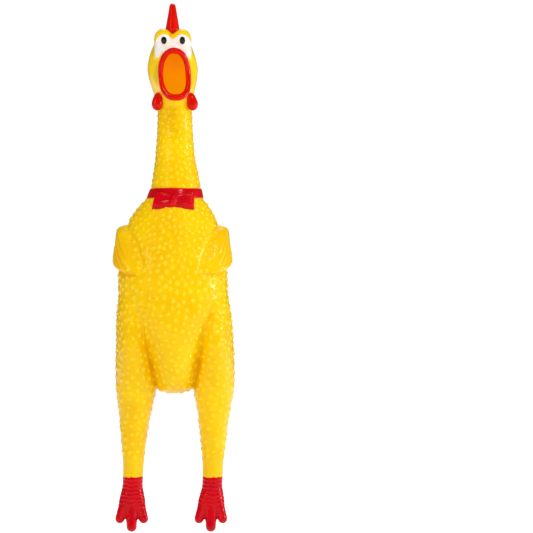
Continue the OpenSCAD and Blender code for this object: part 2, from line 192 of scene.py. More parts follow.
def to_frame(points):
    """Design millimetres to metres in the frame, with the soft toy's lean and the turn of its head."""
    x, y, h = np.asarray(points, float).T
    turn = np.radians(HEAD_TURN) * smoothstep(300, 335, h)
    leaning = curve(LEAN_H, LEAN_X, h)
    turned = (x * np.cos(turn) - y * np.sin(turn) + leaning, x * np.sin(turn) + y * np.cos(turn), h)
    return np.stack(turned, axis=1) * MM + (0, 0, GROUND)


# ---------------------------------------------------------------- fields of distances

def join(a, b, soft):
    """The union of two fields, filleted over about soft millimetres."""
    t = np.clip(0.5 + 0.5 * (b - a) / soft, 0, 1)
    return b + (a - b) * t - soft * t * (1 - t)


def limb(levels, x, y, h, spacing):
    """Distance from the surface through a list of levels."""
    rows = np.array(sorted(levels)).T
    middle, wide, front, behind = (curve(rows[0], row, h) for row in rows[1:])
    depth = np.where(y < 0, front, behind)
    q = np.sqrt(((x - middle) / np.maximum(wide, 0.6)) ** 2 + (y / np.maximum(depth, 0.6)) ** 2) - 1
    slope = np.sqrt(sum(g * g for g in np.gradient(q.astype(np.float32), spacing)))
    d = q / np.maximum(slope, 0.02)
    # beyond its ends the slope is too steep, which would make the distance too short
    d = np.where(q > 0, np.maximum(d, 0.4 * q * np.minimum(wide, depth)), d)
    return np.maximum(d, np.maximum(rows[0][0] - h, h - rows[0][-1])).astype(np.float32)


def ellipsoid(x, y, h, middle, radii):
    q = np.sqrt(sum(((v - m) / r) ** 2 for v, m, r in zip((x, y, h), middle, radii)))
    g = np.sqrt(sum(((v - m) / r ** 2) ** 2 for v, m, r in zip((x, y, h), middle, radii)))
    return q * (q - 1) / np.maximum(g, 1e-6)


def cone(x, y, h, a, b, ra, rb, squash=(1, 1, 1)):
    """A round cone from a to b, with its cross-section squashed along the axes."""
    p = [(v - m) / s for v, m, s in zip((x, y, h), a, squash)]
    axis = [(n - m) / s for m, n, s in zip(a, b, squash)]
    t = np.clip(sum(v * w for v, w in zip(p, axis)) / sum(w * w for w in axis), 0, 1)
    return np.sqrt(sum((v - w * t) ** 2 for v, w in zip(p, axis))) - (ra + (rb - ra) * t)


def grid_of(low, high, size):
    """The coordinates of a grid that covers a box, ready to broadcast."""
    x, y, h = (np.arange(a, b + size, size, dtype=np.float32) for a, b in zip(low, high))
    return x[:, None, None], y[None, :, None], h[None, None, :]


def surface(field, x, y, h, size):
    """Vertices and four-sided faces where a field is zero."""
    grid = openvdb.FloatGrid(20.0)
    grid.copyFromArray(np.array(field, dtype=np.float32, order="C"))
    points, faces = grid.convertToQuads(isovalue=0.0)
    start = np.array([x.flat[0], y.flat[0], h.flat[0]])
    return points.astype(float) * size + start, faces.astype(np.int64)


def outline_depth(outline, u, v):
    """How deep each point lies inside a closed outline, negative outside."""
    near, inside = np.full(np.broadcast(u, v).shape, 1e9), np.zeros(np.broadcast(u, v).shape, bool)
    for (au, av), (bu, bv) in zip(outline, outline[1:] + outline[:1]):
        du, dv = bu - au, bv - av
        t = np.clip(((u - au) * du + (v - av) * dv) / (du * du + dv * dv), 0, 1)
        near = np.minimum(near, np.hypot(u - au - t * du, v - av - t * dv))
        crosses = ((av > v) != (bv > v)) & (u < (bu - au) * (v - av) / (bv - av + 1e-12) + au)
        inside ^= crosses
    return np.where(inside, near, -near)


def feathers(y, h, deep):
    """The ridges that run up from a wing's tip, from -1 between them to 1 on them."""
    back, up = y - FEATHER_FOOT[0], h - FEATHER_FOOT[1]
    along = up * FEATHER_UP + back * FEATHER_BACK
    across = up * FEATHER_BACK - back * FEATHER_UP
    ridge = np.cos(across / (0.5 + 0.006 * np.clip(along, 0, 60)))
    return ridge * smoothstep(0.5, 2.5, deep) * (1 - smoothstep(26, 34, along))


def wing_rise(y, h):
    """How far the folded wing stands off the body: a pillow with feathers and a groove round it."""
    deep = outline_depth(WING_SIDE, y, h)
    edge = np.clip(deep / 4, 0, 1)
    pillow = np.sqrt(1 - (1 - edge) ** 2)
    groove = GROOVE_DEPTH * np.exp(-((deep + GROOVE_OUT) / GROOVE_WIDTH) ** 2) * (deep < 1)
    proud = WING_PROUD + WING_EXTRA * smoothstep(216, 229, h)
    return proud * pillow + FEATHER_HIGH * feathers(y, h, deep) - groove


def bill(x, y, h):
    """The open bill, from the face to a bowed rim, as a solid."""
    out = np.clip((BILL_ROOT_Y - y) / BILL_LONG, 0, 1.4)
    a, b = (half - taper * out for half, taper in zip(BILL_HALF, BILL_TAPER))
    up = h - MOUTH_H
    q = np.sqrt((x / a) ** 2 + (up / b) ** 2)
    wall = (q - 1) * a * b / np.sqrt((b * x / a) ** 2 + (a * up / b) ** 2 + 1e-3) * q
    rim = RIM_Y - RIM_BOW * np.clip(up / 17.7, -1.2, 1.2) ** 2
    return np.maximum(np.maximum(wall, rim - y), y + 4)


def eye_mounds(x, y, h):
    return join(*(ellipsoid(x, y, h, *egg) for egg in EYE_EGGS), 4)


def head_only(x, y, h, size):
    """The head without its bill: the face that the eyes are painted on."""
    return join(limb(TRUNK, x, y, h, size), eye_mounds(x, y, h), 1.8)


def build_skin():
    """The whole skin as one surface of four-sided faces, made for the left half and mirrored."""
    x, y, h = grid_of((VOXEL / 2, -36, -1.5), (52, 30, 384), VOXEL)
    winged = (h > WING_LOW) & (h < WING_HIGH)
    trunk = limb(TRUNK, x, y, h, VOXEL) - np.where(winged, wing_rise(y, h), 0)
    body = join(trunk, limb(LEG, x, y, h, VOXEL), 2.2)
    for tip_x, tip_y, sole, r in TOES:
        root = (ANKLE_X + 0.35 * tip_x, -0.6, TOE_ROOT_H)
        tip = (ANKLE_X + tip_x, tip_y, sole + r)
        body = join(body, cone(x, y, h, root, tip, TOE_ROOT_R, r), 2)
    head = join(np.where(h > 340, eye_mounds(x, y, h), 20), bill(x, y, h), 1.5)
    body = join(body, head, 1.8)
    both = np.concatenate([body[::-1], body], axis=0)
    return surface(both, -x[::-1], y, h, VOXEL)


# ---------------------------------------------------------------- working on meshes

def vertex_normals(points, faces):
    a, b, c, d = (points[faces[:, k]] for k in range(4))
    flat = np.cross(c - a, d - b)
    out = np.zeros_like(points)
    for k in range(4):
        for axis in range(3):
            out[:, axis] += np.bincount(faces[:, k], flat[:, axis], len(points))
    return out / np.maximum(np.linalg.norm(out, axis=1), 1e-12)[:, None]


def neighbour_mean(values, faces):
    """For each vertex, the mean of the values at the vertices next to it."""
    total, count = np.zeros_like(values), np.zeros(len(values))
    for k in range(4):
        for other in (faces[:, (k + 1) % 4], faces[:, (k + 3) % 4]):
            count += np.bincount(faces[:, k], minlength=len(values))
            for axis in range(values.shape[1]):
                total[:, axis] += np.bincount(faces[:, k], values[other, axis], len(values))
    return total / np.maximum(count, 1)[:, None]


def hollows(points, faces, rounds):
    """How sharply each place of a surface is creased inwards, in millimetres."""
    smooth = points
    for _ in range(rounds):
        smooth = neighbour_mean(smooth, faces)
    return np.einsum("ij,ij->i", smooth - points, vertex_normals(points, faces))


def make_object(name, points, faces, material, body, nodes, attributes=(), inside=None):
    """A smooth Blender object from design millimetres, which rides on a body if one is given.

    inside is a second material, and which faces have it.
    """
    mesh = bpy.data.meshes.new(name)
    mesh.vertices.add(len(points))
    mesh.vertices.foreach_set("co", to_frame(points).astype(np.float32).ravel())
    mesh.loops.add(faces.size)
    mesh.loops.foreach_set("vertex_index", faces.astype(np.int32).ravel())
    mesh.polygons.add(len(faces))
    mesh.polygons.foreach_set("loop_start", np.arange(0, faces.size, 4, dtype=np.int32))
    mesh.materials.append(material)
    if inside is not None:
        mesh.materials.append(inside[0])
        mesh.polygons.foreach_set("material_index", inside[1].astype(np.int32))
    mesh.update(calc_edges=True)
    mesh.shade_smooth()
    for key, values in [*attributes, ("rest_place", points)]:
        values = np.asarray(values, np.float32)
        kind = ("FLOAT_VECTOR", "vector") if values.ndim == 2 else ("FLOAT", "value")
        mesh.attributes.new(key, kind[0], "POINT").data.foreach_set(kind[1], values.ravel())
    obj = bpy.data.objects.new(name, mesh)
    bpy.context.scene.collection.objects.link(obj)
    if body:
        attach(obj, body)
    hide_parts(*nodes)
    return obj


def scatter(points, spacing, rng):
    """Evenly spread places on a surface, about spacing apart, by taking the farthest one each time."""
    pick = rng.random(len(points)) < 0.3
    pool, gap = points[pick].astype(np.float32), spacing[pick] * rng.uniform(0.86, 1.14, pick.sum())
    distance = np.full(len(pool), 1e9)
    chosen, i = [], 0
    while True:
        chosen.append(pool[i])
        distance = np.minimum(distance, np.linalg.norm(pool - pool[i], axis=1))
        i = int(np.argmax(distance / gap))
        if distance[i] < gap[i]:
            return np.array(chosen)


# ---------------------------------------------------------------- the skin's own relief

def on_wing(points):
    """How deep each point lies inside a wing's outline, negative off the wing."""
    x, y, h = points.T
    return np.where(np.abs(x) > WING_INNER, outline_depth(WING_SIDE, y, h), -9)


def bump_strength(points, crease):
    """How high the skin's round bumps stand at each place, in millimetres."""
    h = points[:, 2]
    high = curve(BUMP_H, BUMP_HIGH, h) * smoothstep(50, 60, h) * (1 - smoothstep(318, 326, h))
    high = high * (1 - 0.95 * smoothstep(-1, 1, on_wing(points)))
    return high * (1 - 0.6 * smoothstep(0.25, 0.8, crease))


def bumps(points, strength, rng):
    """The height of the bumps at each vertex, and how near it is to the middle of one, 0 to 1."""
    spacing = curve(SPACING_H, SPACING, points[:, 2])
    middles = scatter(points[strength > 0.05], spacing[strength > 0.05], rng)
    tree = KDTree(len(middles))
    for i, middle in enumerate(middles):
        tree.insert(middle, i)
    tree.balance()
    size = rng.uniform(0.8, 1.12, len(middles)) * BUMP_R
    height = rng.uniform(0.7, 1.2, len(middles))
    found = [tree.find(p)[1:] for p in points]
    nearest = np.array([f[0] for f in found])
    reach = np.array([f[1] for f in found]) / (size[nearest] * spacing)
    dome = np.clip(1 - reach ** 2, 0, 1) ** 2
    return strength * height[nearest] * dome, dome


def foot_relief(points):
    """Wrinkles across the front of the shanks, lumps on the insteps and rings round the ankles."""
    x, y, h = points.T
    side = np.abs(x) - ANKLE_X
    wrinkled = smoothstep(17, 22, h) * (1 - smoothstep(40, 43, h)) * smoothstep(1, -4, y)
    phase = (h - 0.12 * side ** 2 / 7.5 + 0.35 * np.sin(side * 0.9)) / WRINKLE_PITCH * 2 * math.pi
    wrinkle = WRINKLE * wrinkled * (np.abs(np.cos(phase / 2)) * 2 - 1)
    lumps = LUMP * (np.sin(side * 2.3) * np.sin(h * 2.1)) * smoothstep(24, 19, h) * smoothstep(5, 10, h)
    ringed = smoothstep(42, 43.5, h) * (1 - smoothstep(46, 50, h)) * smoothstep(2, -4, y)
    rings = RING * ringed * np.sin(h / RING_PITCH * 2 * math.pi)
    return wrinkle + lumps * smoothstep(1, -3, y) + rings


def paint_edge(points):
    """How far the skin moves up near the edge of the red paint, so that the edge isn't straight."""
    x, y, h = points.T
    turn = np.arctan2(y, np.abs(x) - ANKLE_X)
    wave = 0.22 * np.sin(2 * turn + 0.7 + (x > 0)) + 0.12 * np.sin(5 * turn + 2.1)
    return wave * np.exp(-((h - PAINT_H) / 3.0) ** 2)


# ---------------------------------------------------------------- cutting the skin into pieces

def thick_piece(chosen):
    """The chosen faces of the skin with an inner wall and closed rims.

    Gives the skin's vertices that it uses, its faces, and which of them face inwards.
    """
    used, local = np.unique(skin_faces[chosen], return_inverse=True)
    outer = local.reshape(-1, 4)
    n = len(used)
    start, end = (np.concatenate([outer[:, (k + s) % 4] for k in range(4)]) for s in (0, 1))
    open_edge = ~np.isin(start * n + end, end * n + start)
    a, b = start[open_edge], end[open_edge]
    rim = np.stack([b, a, a + n, b + n], axis=1)
    inner = outer[:, ::-1] + n
    inward = np.repeat([False, True, True], [len(outer), len(inner), len(rim)])
    return used, np.concatenate([outer, inner, rim]), inward


def skin_piece(name, chosen, nodes, body=None, bend=None, material=None, inside=None):
    """One piece of the skin. A piece given a bend has no body and stays in place; of bend, two bodies, a
    start and an end, only whether it is given is read, to bake the piece's place into its mesh.
    """
    used, faces, inward = thick_piece(chosen)
    flat = np.concatenate([skin_base[used]] * 2)
    points = np.concatenate([skin_points[used], skin_base[used] - WALL * skin_base_normals[used]])
    normals = np.concatenate([skin_normals[used], -skin_base_normals[used]])
    attributes = [(key, np.concatenate([v[used]] * 2)) for key, v in skin_marks.items()]
    lining = None if inside is None else (inside, inward)
    obj = make_object(name, flat, faces, material or yellow, body, nodes, attributes, lining)
    if bend:
        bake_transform(obj)
    # the piece is made on the plain skin, which its rest_place keeps, and then moved onto the skin with its
    # bumps and inner wall
    obj.data.vertices.foreach_set("co", to_frame(points).astype(np.float32).ravel())
    obj.data.update()
    obj.data.normals_split_custom_set_from_vertices(normals)
    return obj


def level(x, y, h):
    """A point of the frame at design millimetres."""
    return Vector((x * MM, y * MM, h * MM + GROUND))


def bend_up(low_body, high_body, low, high):
    """How a band bends between the body below it and the one above it."""
    return low_body, high_body, level(0, 0, low), level(0, 0, high)


def between_heights(low, high):
    """Which of the skin's faces lie between two heights."""
    return (mh >= low) & (mh < high)


# ---------------------------------------------------------------- materials

def add_node(tree, kind, inputs=(), **settings):
    node = tree.nodes.new(kind)
    for key, value in settings.items():
        setattr(node, key, value)
    for key, value in dict(inputs).items():
        if isinstance(value, bpy.types.NodeSocket):
            tree.links.new(value, node.inputs[key])
        else:
            node.inputs[key].default_value = value
    return node


def ramp(tree, factor, stops):
    node = add_node(tree, "ShaderNodeValToRGB", {"Fac": factor})
    elements = node.color_ramp.elements
    while len(elements) < len(stops):
        elements.new(0.5)
    for element, (at, colour) in zip(elements, stops):
        element.position = at
        element.color = (*colour, 1)
    return node.outputs["Color"]


def noise(tree, place, scale, detail=3, roughness=0.5):
    inputs = {"Vector": place, "Scale": scale, "Detail": detail, "Roughness": roughness}
    return add_node(tree, "ShaderNodeTexNoise", inputs).outputs["Fac"]


def ranged(tree, value, low, high, new_low, new_high):
    """The value with low to high stretched to the new range, and held inside it."""
    inputs = {"Value": value, "From Min": low, "From Max": high, "To Min": new_low, "To Max": new_high}
    return add_node(tree, "ShaderNodeMapRange", inputs).outputs["Result"]


def mixed(tree, factor, a, b):
    """A mix of two colours, each of them a socket or a constant."""
    node = add_node(tree, "ShaderNodeMix", data_type="RGBA")
    for socket, value in zip((node.inputs[0], node.inputs[6], node.inputs[7]), (factor, a, b)):
        if isinstance(value, bpy.types.NodeSocket):
            tree.links.new(value, socket)
        else:
            socket.default_value = value if isinstance(value, float) else (*value, 1)
    return node.outputs[2]


def plain_material(name, constants):
    """A new material with constants on its shader, its tree and its shader."""
    material = bpy.data.materials.new(name)
    material.use_nodes = True
    tree = material.node_tree
    shader = tree.nodes["Principled BSDF"]
    for key, value in constants.items():
        shader.inputs[key].default_value = value
    return material, tree, shader


def start_material(name, constants):
    """A new material, its tree, its shader, and the place of each point at rest in millimetres."""
    material, tree, shader = plain_material(name, constants)
    place = add_node(tree, "ShaderNodeAttribute", attribute_name="rest_place").outputs["Vector"]
    return material, tree, shader, place


def glossy(specular, tint):
    """A shader's constants for gloss: tinted under a thin clear coat, which gives the white highlights."""
    coat = {"Coat Weight": 0.22, "Coat Roughness": 0.12}
    return {"Specular IOR Level": specular, "Specular Tint": tint, **coat}


def surface_bump(tree, shader, height, strength, distance):
    inputs = {"Height": height, "Strength": strength, "Distance": distance}
    bump = add_node(tree, "ShaderNodeBump", inputs)
    tree.links.new(bump.outputs["Normal"], shader.inputs["Normal"])


def mark(tree, name):
    return add_node(tree, "ShaderNodeAttribute", attribute_name=name).outputs["Fac"]


def roughen(tree, shader, place, low, high, grain, depth):
    """Uneven gloss and a fine moulded grain."""
    patches = noise(tree, place, 0.12, 4, 0.6)
    tree.links.new(ranged(tree, patches, 0.3, 0.7, low, high), shader.inputs["Roughness"])
    surface_bump(tree, shader, noise(tree, place, grain, 2), 0.35, depth * MM)


def vinyl(name, valley, plain, top, crease):
    """Yellow vinyl: paler on its bumps and head with a painted highlight, deeper between them, and orange in
    its creases with painted shade.
    """
    material, tree, shader, place = start_material(name, glossy(0.4, (1, 0.75, 0.12, 1)))
    cloud = ranged(tree, noise(tree, place, 0.045, 3), 0.35, 0.65, 0.0, 1.0)
    ground = mixed(tree, cloud, plain, valley)
    # the painted_highlight mark lifts the bump tops and the head towards the top colour: a painted highlight
    tone = mixed(tree, ranged(tree, mark(tree, "painted_highlight"), 0.0, 0.9, 0.0, 0.8), ground, top)
    # the crease mark turns the vinyl orange in its creases: painted shade
    crease_shade = ranged(tree, mark(tree, "crease"), 0.12, 0.9, 0.0, 0.85)
    tone = mixed(tree, crease_shade, tone, crease)
    tree.links.new(tone, shader.inputs["Base Color"])
    roughen(tree, shader, place, 0.3, 0.42, 1.6, 0.06)
    return material


def lining(name):
    """The inside of the skin, warm: a dark orange that stands in for the shade inside the head, and a
    painted glow, emission that stands in for the light that comes through the vinyl.
    """
    constants = {"Specular IOR Level": 0.2, "Emission Strength": 0.78}
    material, tree, shader, place = start_material(name, constants)
    tone = ramp(tree, noise(tree, place, 0.09, 3), [(0.3, (0.52, 0.25, 0.0)), (0.7, (0.57, 0.29, 0.0))])
    tree.links.new(tone, shader.inputs["Base Color"])
    up = add_node(tree, "ShaderNodeSeparateXYZ", {"Vector": place}).outputs["Z"]
    # the glow is stronger low in the mouth and weaker under the upper bill: painted light and shade
    stops = [(0, (0.60, 0.27, 0.0)), (0.5, (0.62, 0.24, 0.0)), (1, (0.50, 0.13, 0.0))]
    glow = ramp(tree, ranged(tree, up, 328, 366, 0.0, 1.0), stops)
    tree.links.new(glow, shader.inputs["Emission Color"])
    roughen(tree, shader, place, 0.45, 0.6, 1.2, 0.08)
    return material


def red_paint(name, base, deep):
    """Glossy red paint, a little uneven, with painted shade that makes it darker in its creases."""
    material, tree, shader, place = start_material(name, glossy(0.35, (1, 0.1, 0.1, 1)))
    tone = mixed(tree, ranged(tree, noise(tree, place, 0.1, 4), 0.35, 0.65, 0.0, 1.0), base, deep)
    # the crease mark darkens the red in its creases: painted shade
    crease_shade = ranged(tree, mark(tree, "crease"), 0.05, 0.5, 0.0, 0.8)
    tone = mixed(tree, crease_shade, tone, (deep[0] * 0.6, 0.0, 0.004))
    tree.links.new(tone, shader.inputs["Base Color"])
    roughen(tree, shader, place, 0.24, 0.36, 1.1, 0.05)
    return material


def eye_paint(name, base, shade, low, high):
    """Paint of the eyes, between two tones and two roughnesses."""
    material, tree, shader, place = start_material(name, {"Specular IOR Level": 0.4})
    tone = mixed(tree, ranged(tree, noise(tree, place, 0.25, 4), 0.3, 0.7, 0.0, 1.0), base, shade)
    tree.links.new(tone, shader.inputs["Base Color"])
    roughen(tree, shader, place, low, high, 2.0, 0.03)
    return material


def hard_plastic(name, base, shade, low, high):
    """Moulded plastic of the squeaker. Its nodes have no rest_place, so it uses the object's own place."""
    material, tree, shader = plain_material(name, {})
    place = add_node(tree, "ShaderNodeTexCoord").outputs["Object"]
    tone = mixed(tree, ranged(tree, noise(tree, place, 160, 4), 0.3, 0.7, 0.0, 1.0), base, shade)
    tree.links.new(tone, shader.inputs["Base Color"])
    tree.links.new(ranged(tree, noise(tree, place, 500, 3), 0.3, 0.7, low, high), shader.inputs["Roughness"])
    surface_bump(tree, shader, noise(tree, place, 2500, 2), 0.3, 0.00004)
    return material


# top is the colour of the painted highlight, and crease the colour of the painted shade
yellow = vinyl(
    "yellow_vinyl", valley=(0.93, 0.54, 0.0), plain=(0.96, 0.63, 0.0), top=(1.0, 0.76, 0.015),
    crease=(0.90, 0.38, 0.0),
)
painted_glow_inside = lining("vinyl_lining_painted_glow")
red = red_paint("red_paint", (0.66, 0.0, 0.006), (0.54, 0.0, 0.008))
bright_red = red_paint("bright_red_paint", (0.72, 0.006, 0.0), (0.62, 0.002, 0.0))
white = eye_paint("eye_white_paint", (0.93, 0.90, 0.90), (0.90, 0.86, 0.86), 0.3, 0.4)
black = eye_paint("eye_black_paint", (0.004, 0.004, 0.005), (0.012, 0.012, 0.014), 0.18, 0.26)
ivory = hard_plastic("squeaker_plastic", (0.80, 0.78, 0.70), (0.72, 0.70, 0.62), 0.4, 0.55)
film = hard_plastic("reed_film", (0.62, 0.58, 0.45), (0.55, 0.5, 0.38), 0.15, 0.3)

# ---------------------------------------------------------------- the skin

skin_base, skin_faces = build_skin()
skin_base_normals = vertex_normals(skin_base, skin_faces)
skin_crease = hollows(skin_base, skin_faces, 8)
strength = bump_strength(skin_base, skin_crease)
rise, dome = bumps(skin_base, strength, np.random.default_rng(SEED))
skin_points = skin_base + skin_base_normals * (rise + foot_relief(skin_base))[:, None]
skin_points[:, 2] += paint_edge(skin_base)
skin_normals = vertex_normals(to_frame(skin_points), skin_faces)


def painted_light_marks():
    """Where painted highlight makes the vinyl paler, on its bumps and on the head, and where painted shade
    makes it deeper, in its creases.
    """
    y, h = skin_base[:, 1], skin_base[:, 2]
    # the whole head is made paler: painted light
    head_painted_light = 0.6 * smoothstep(316, 332, h)
    wing_depth = on_wing(skin_base)
    # between the feather ridges the vinyl gets painted shade
    shade_between_feathers = np.clip(-feathers(y, h, wing_depth), 0, 1) * (wing_depth > 0)
    return {
        "painted_highlight": np.maximum(dome * np.clip(strength / 0.6, 0, 1), head_painted_light),
        # painted shade in the creases, weaker on the head, and between the feather ridges
        "crease": skin_crease * (1 - 0.7 * smoothstep(322, 335, h)) + 0.4 * shade_between_feathers,
    }


skin_marks = painted_light_marks()

middle = skin_base[skin_faces].mean(axis=1)
mx, my, mh = middle.T
wing_face = (on_wing(middle) > 0) & (mh > WING_LOW) & (mh < WING_HIGH)
trunk_face = between_heights(HIP_TOP, COLLAR_TOP) & ~wing_face
belly_face = trunk_face & (my < BELLY_BEND[0]) & (mh > BELLY_LOW) & (mh < BELLY_HIGH)


def faces_across_mouth():
    """The faces that close the bill's front, which is open."""
    across, up = mx / MOUTH_FLOOR[0], (mh - MOUTH_H) / MOUTH_FLOOR[1]
    forward = skin_base_normals[skin_faces].mean(axis=1)[:, 1] < -0.6
    return (my < -24) & (across ** 2 + up ** 2 < 1) & forward


def trunk_and_head():
    start, end = (level(0, y, BELLY_MIDDLE) for y in (BELLY_BEND[0] - 0.5, BELLY_BEND[1]))
    skin_piece("skin_belly", belly_face, ["belly_panel", "belly_flex"], bend=("torso", "belly", start, end))
    for name, half in (("front", my < 0), ("back", my >= 0)):
        skin_piece(f"skin_torso_{name}", trunk_face & ~belly_face & half, ["torso_shell"], "torso")
    skin_piece("skin_neck_foot", between_heights(COLLAR_TOP, NECK_BEND[1]), ["neck_base_flex"],
               bend=bend_up("torso", "neck", *NECK_BEND))
    skin_piece("skin_neck", between_heights(NECK_BEND[1], THROAT_BEND[0]), ["neck_tube"], "neck")
    low, high = THROAT_BEND
    skin_piece("skin_throat", between_heights(low, high), ["throat_flex"],
               bend=bend_up("neck", "head", low + BEND_MARGIN, high - BEND_MARGIN))
    head_face = (mh >= high) & ~faces_across_mouth()
    skin_piece("skin_head", head_face, ["head_shell"], "head", inside=painted_glow_inside)


def one_side(side, here):
    """The wing, hip, leg, ankle and foot of one side."""
    skin_piece(f"wing_{side}", wing_face & here, [f"{side}_wing"], "torso")
    low, high = HIP_BEND
    skin_piece(f"skin_hip_{side}", here & between_heights(low, HIP_TOP), [f"{side}_hip_flex"],
               bend=bend_up(f"{side}_leg", "torso", low + BEND_MARGIN, high - 0.2))
    shank = here & between_heights(ANKLE_BEND[1], low)
    skin_piece(f"skin_leg_{side}", shank, [f"{side}_leg"], f"{side}_leg")
    low, high = ANKLE_BEND
    skin_piece(f"skin_ankle_{side}", here & between_heights(PAINT_H, high), [f"{side}_ankle_flex"],
               bend=bend_up(f"{side}_foot", f"{side}_leg", low, high - BEND_MARGIN))
    skin_piece(f"foot_{side}", here & (mh < PAINT_H), [f"{side}_foot"], f"{side}_foot",
               material=red)


trunk_and_head()
one_side("left", mx > 0)
one_side("right", mx <= 0)

# ---------------------------------------------------------------- the small parts

def small_part(name, field, low, high, size, material, body, nodes):
    """A closed piece where a field of x, y and h is below zero."""
    x, y, h = grid_of(low, high, size)
    points, faces = surface(field(x, y, h), x, y, h, size)
    marks = [("crease", hollows(points, faces, 6) / (size / VOXEL))]
    return make_object(name, points, faces, material, body, nodes, marks)


def comb(x, y, h):
    """Four points, each of them a cone that leans a little away from the next."""
    out = 20
    for tip_y, tip_h, r in COMB:
        root, tip = (0, 0.85 * tip_y + 0.5, 380 - 0.1 * tip_y), (0, tip_y, tip_h)
        out = join(out, cone(x, y, h, root, tip, COMB_ROOT_R, r, (1, 1.2, 1)), 1.2)
    return out


def wattle(side):
    def field(x, y, h):
        return join(*(ellipsoid(side * x, y, h, *egg) for egg in WATTLE_EGGS), 4)
    return field


def bow(x, y, h):
    """Two soft lobes that widen away from a knot, with folds that run out from it."""
    ax = np.abs(x)
    front = 23 - 0.3 * np.maximum(h - FOLD_H, 0) - 0.6 * np.maximum(FOLD_H - h, 0) - 0.006 * ax ** 2
    half_high = 5.1 + 1.7 * smoothstep(0, 9, ax)
    end = BOW_END - 0.1 * (h - BOW_H)
    past_end, past_top = ax - end, np.abs(h - BOW_H) - half_high
    past_front = np.abs(y + front - BOW_THICK) - BOW_THICK
    rounded = [v + BOW_ROUND for v in (past_end, past_top, past_front)]
    corner = np.sqrt(sum(np.maximum(v, 0) ** 2 for v in rounded))
    deepest = np.maximum(rounded[0], np.maximum(rounded[1], rounded[2]))
    block = corner + np.minimum(deepest, 0) - BOW_ROUND
    lobe = smoothstep(1.5, 6, ax) * (1 - smoothstep(7, 13, ax))
    folds = np.cos(np.arctan2(h - SPREAD_H, ax + 2) * 9 + 0.6) * lobe
    return join(block + 0.3 * folds, ellipsoid(x, y, h, *KNOT), 0.8)


def eye_white(side):
    """A thin layer on the face, inside the white's outline."""
    def field(x, y, h):
        face = head_only(np.abs(x), y, h, FINE)
        layer = np.maximum(face - 0.35, -0.7 - face)
        return np.maximum(layer, -outline_depth(EYE_WHITE, side * x, h))
    return field


def pupil(side):
    """A thicker layer on the face, inside the pupil's ellipse."""
    def field(x, y, h):
        face = head_only(np.abs(x), y, h, FINEST)
        across, up = (side * x - PUPIL[0]) / PUPIL_R[0], (h - PUPIL[1]) / PUPIL_R[1]
        ellipse = (np.sqrt(across ** 2 + up ** 2) - 1) * 2.3
        return np.maximum(np.maximum(face - 0.65, -face), ellipse)
    return field


def small_part_of_side(name, side, field, low, high, size, material, node):
    """A part of the head that there is one of on each side, in a box given for the left one."""
    sign = 1 if side == "left" else -1
    near, far = sorted((sign * low[0], sign * high[0]))
    small_part(f"{name}_{side}", field(sign), (near, *low[1:]), (far, *high[1:]), size, material, "head",
               [f"{side}_{node}"])


small_part("crest_comb", comb, (-7, -17, 371), (7, 22, 402), FINE, bright_red,
           "head", ["comb"])
small_part("bow_tie_bow", bow, (-18, -28, 241), (18, -11, 261), FINE, red,
           "torso", ["bow_tie"])
for side in ("left", "right"):
    small_part_of_side("wattle", side, wattle, (6, -15, 316), (20, -2, 335), FINE, bright_red,
                       "wattle")
    small_part_of_side("eye_white_of", side, eye_white, (-0.8, -24, 355), (16, -4, 379), FINE, white,
                       "eye_white")
    small_part_of_side("pupil_of", side, pupil, (3.6, -22, 367), (10, -10, 375.5), FINEST, black,
                       "pupil")


def wrap_grid(rings, around):
    """Faces of a tube that closes on itself both ways."""
    i, j = np.meshgrid(np.arange(rings), np.arange(around), indexing="ij")
    a, b = i * around + j, i * around + (j + 1) % around
    c, d = ((i + 1) % rings) * around + (j + 1) % around, ((i + 1) % rings) * around + j
    return np.stack([a, b, c, d], axis=-1).reshape(-1, 4)


def signed_power(value, power):
    return np.sign(value) * np.abs(value) ** power


def full_turn(steps):
    """Evenly spaced angles round a circle."""
    return np.arange(steps) / steps * 2 * math.pi


def unit(vectors):
    return vectors / np.linalg.norm(vectors, axis=1)[:, None]


def lips():
    """The painted rim of the bill: a bowed ring, thinnest at the corners of the mouth."""
    rings, around = 144, 24
    t = full_turn(rings)
    top = np.sin(t) > 0
    square = np.where(top, 0.9, 0.76)
    across, up = signed_power(np.cos(t), square), signed_power(np.sin(t), square)
    centre = np.stack([RIM_HALF[0] * across, RIM_Y - RIM_BOW * up ** 2, MOUTH_H + RIM_HALF[1] * up], axis=1)
    uneven = 0.06 * np.sin(5 * t + 1) + 0.05 * np.sin(9 * t)
    radius = (1.95 + np.where(top, 0.3, 0.55) * np.sin(t) ** 2 + uneven)[:, None, None]
    along = unit(np.roll(centre, -1, 0) - np.roll(centre, 1, 0))
    out = unit(np.cross(along, (0, 1, 0)))
    front = np.cross(out, along)
    a = full_turn(around)[None, :, None]
    ring = centre[:, None] + radius * (np.cos(a) * out[:, None] + 1.05 * np.sin(a) * front[:, None])
    return ring.reshape(-1, 3), wrap_grid(rings, around)


def collar():
    """The painted band: a rounded ring that hugs the foot of the neck."""
    rings, around, half_thick = 200, 20, 0.85
    t, a = full_turn(rings)[:, None], full_turn(around)[None, :]
    out, up = half_thick * signed_power(np.cos(a), 0.4), signed_power(np.sin(a), 0.4)
    centre_h, half_high = (COLLAR_LOW + COLLAR_TOP) / 2, (COLLAR_TOP - COLLAR_LOW) / 2 + 0.25
    h = centre_h + half_high * up + 0.12 * np.sin(3 * t + 1) + 0.08 * np.sin(7 * t)
    r = COLLAR_R - half_thick - (h - COLLAR_LOW) / 3.5 + out + 0.05 * np.sin(11 * t)
    ring = np.stack([r * np.cos(t), r * np.sin(t), h], axis=-1)
    return ring.reshape(-1, 3), wrap_grid(rings, around)


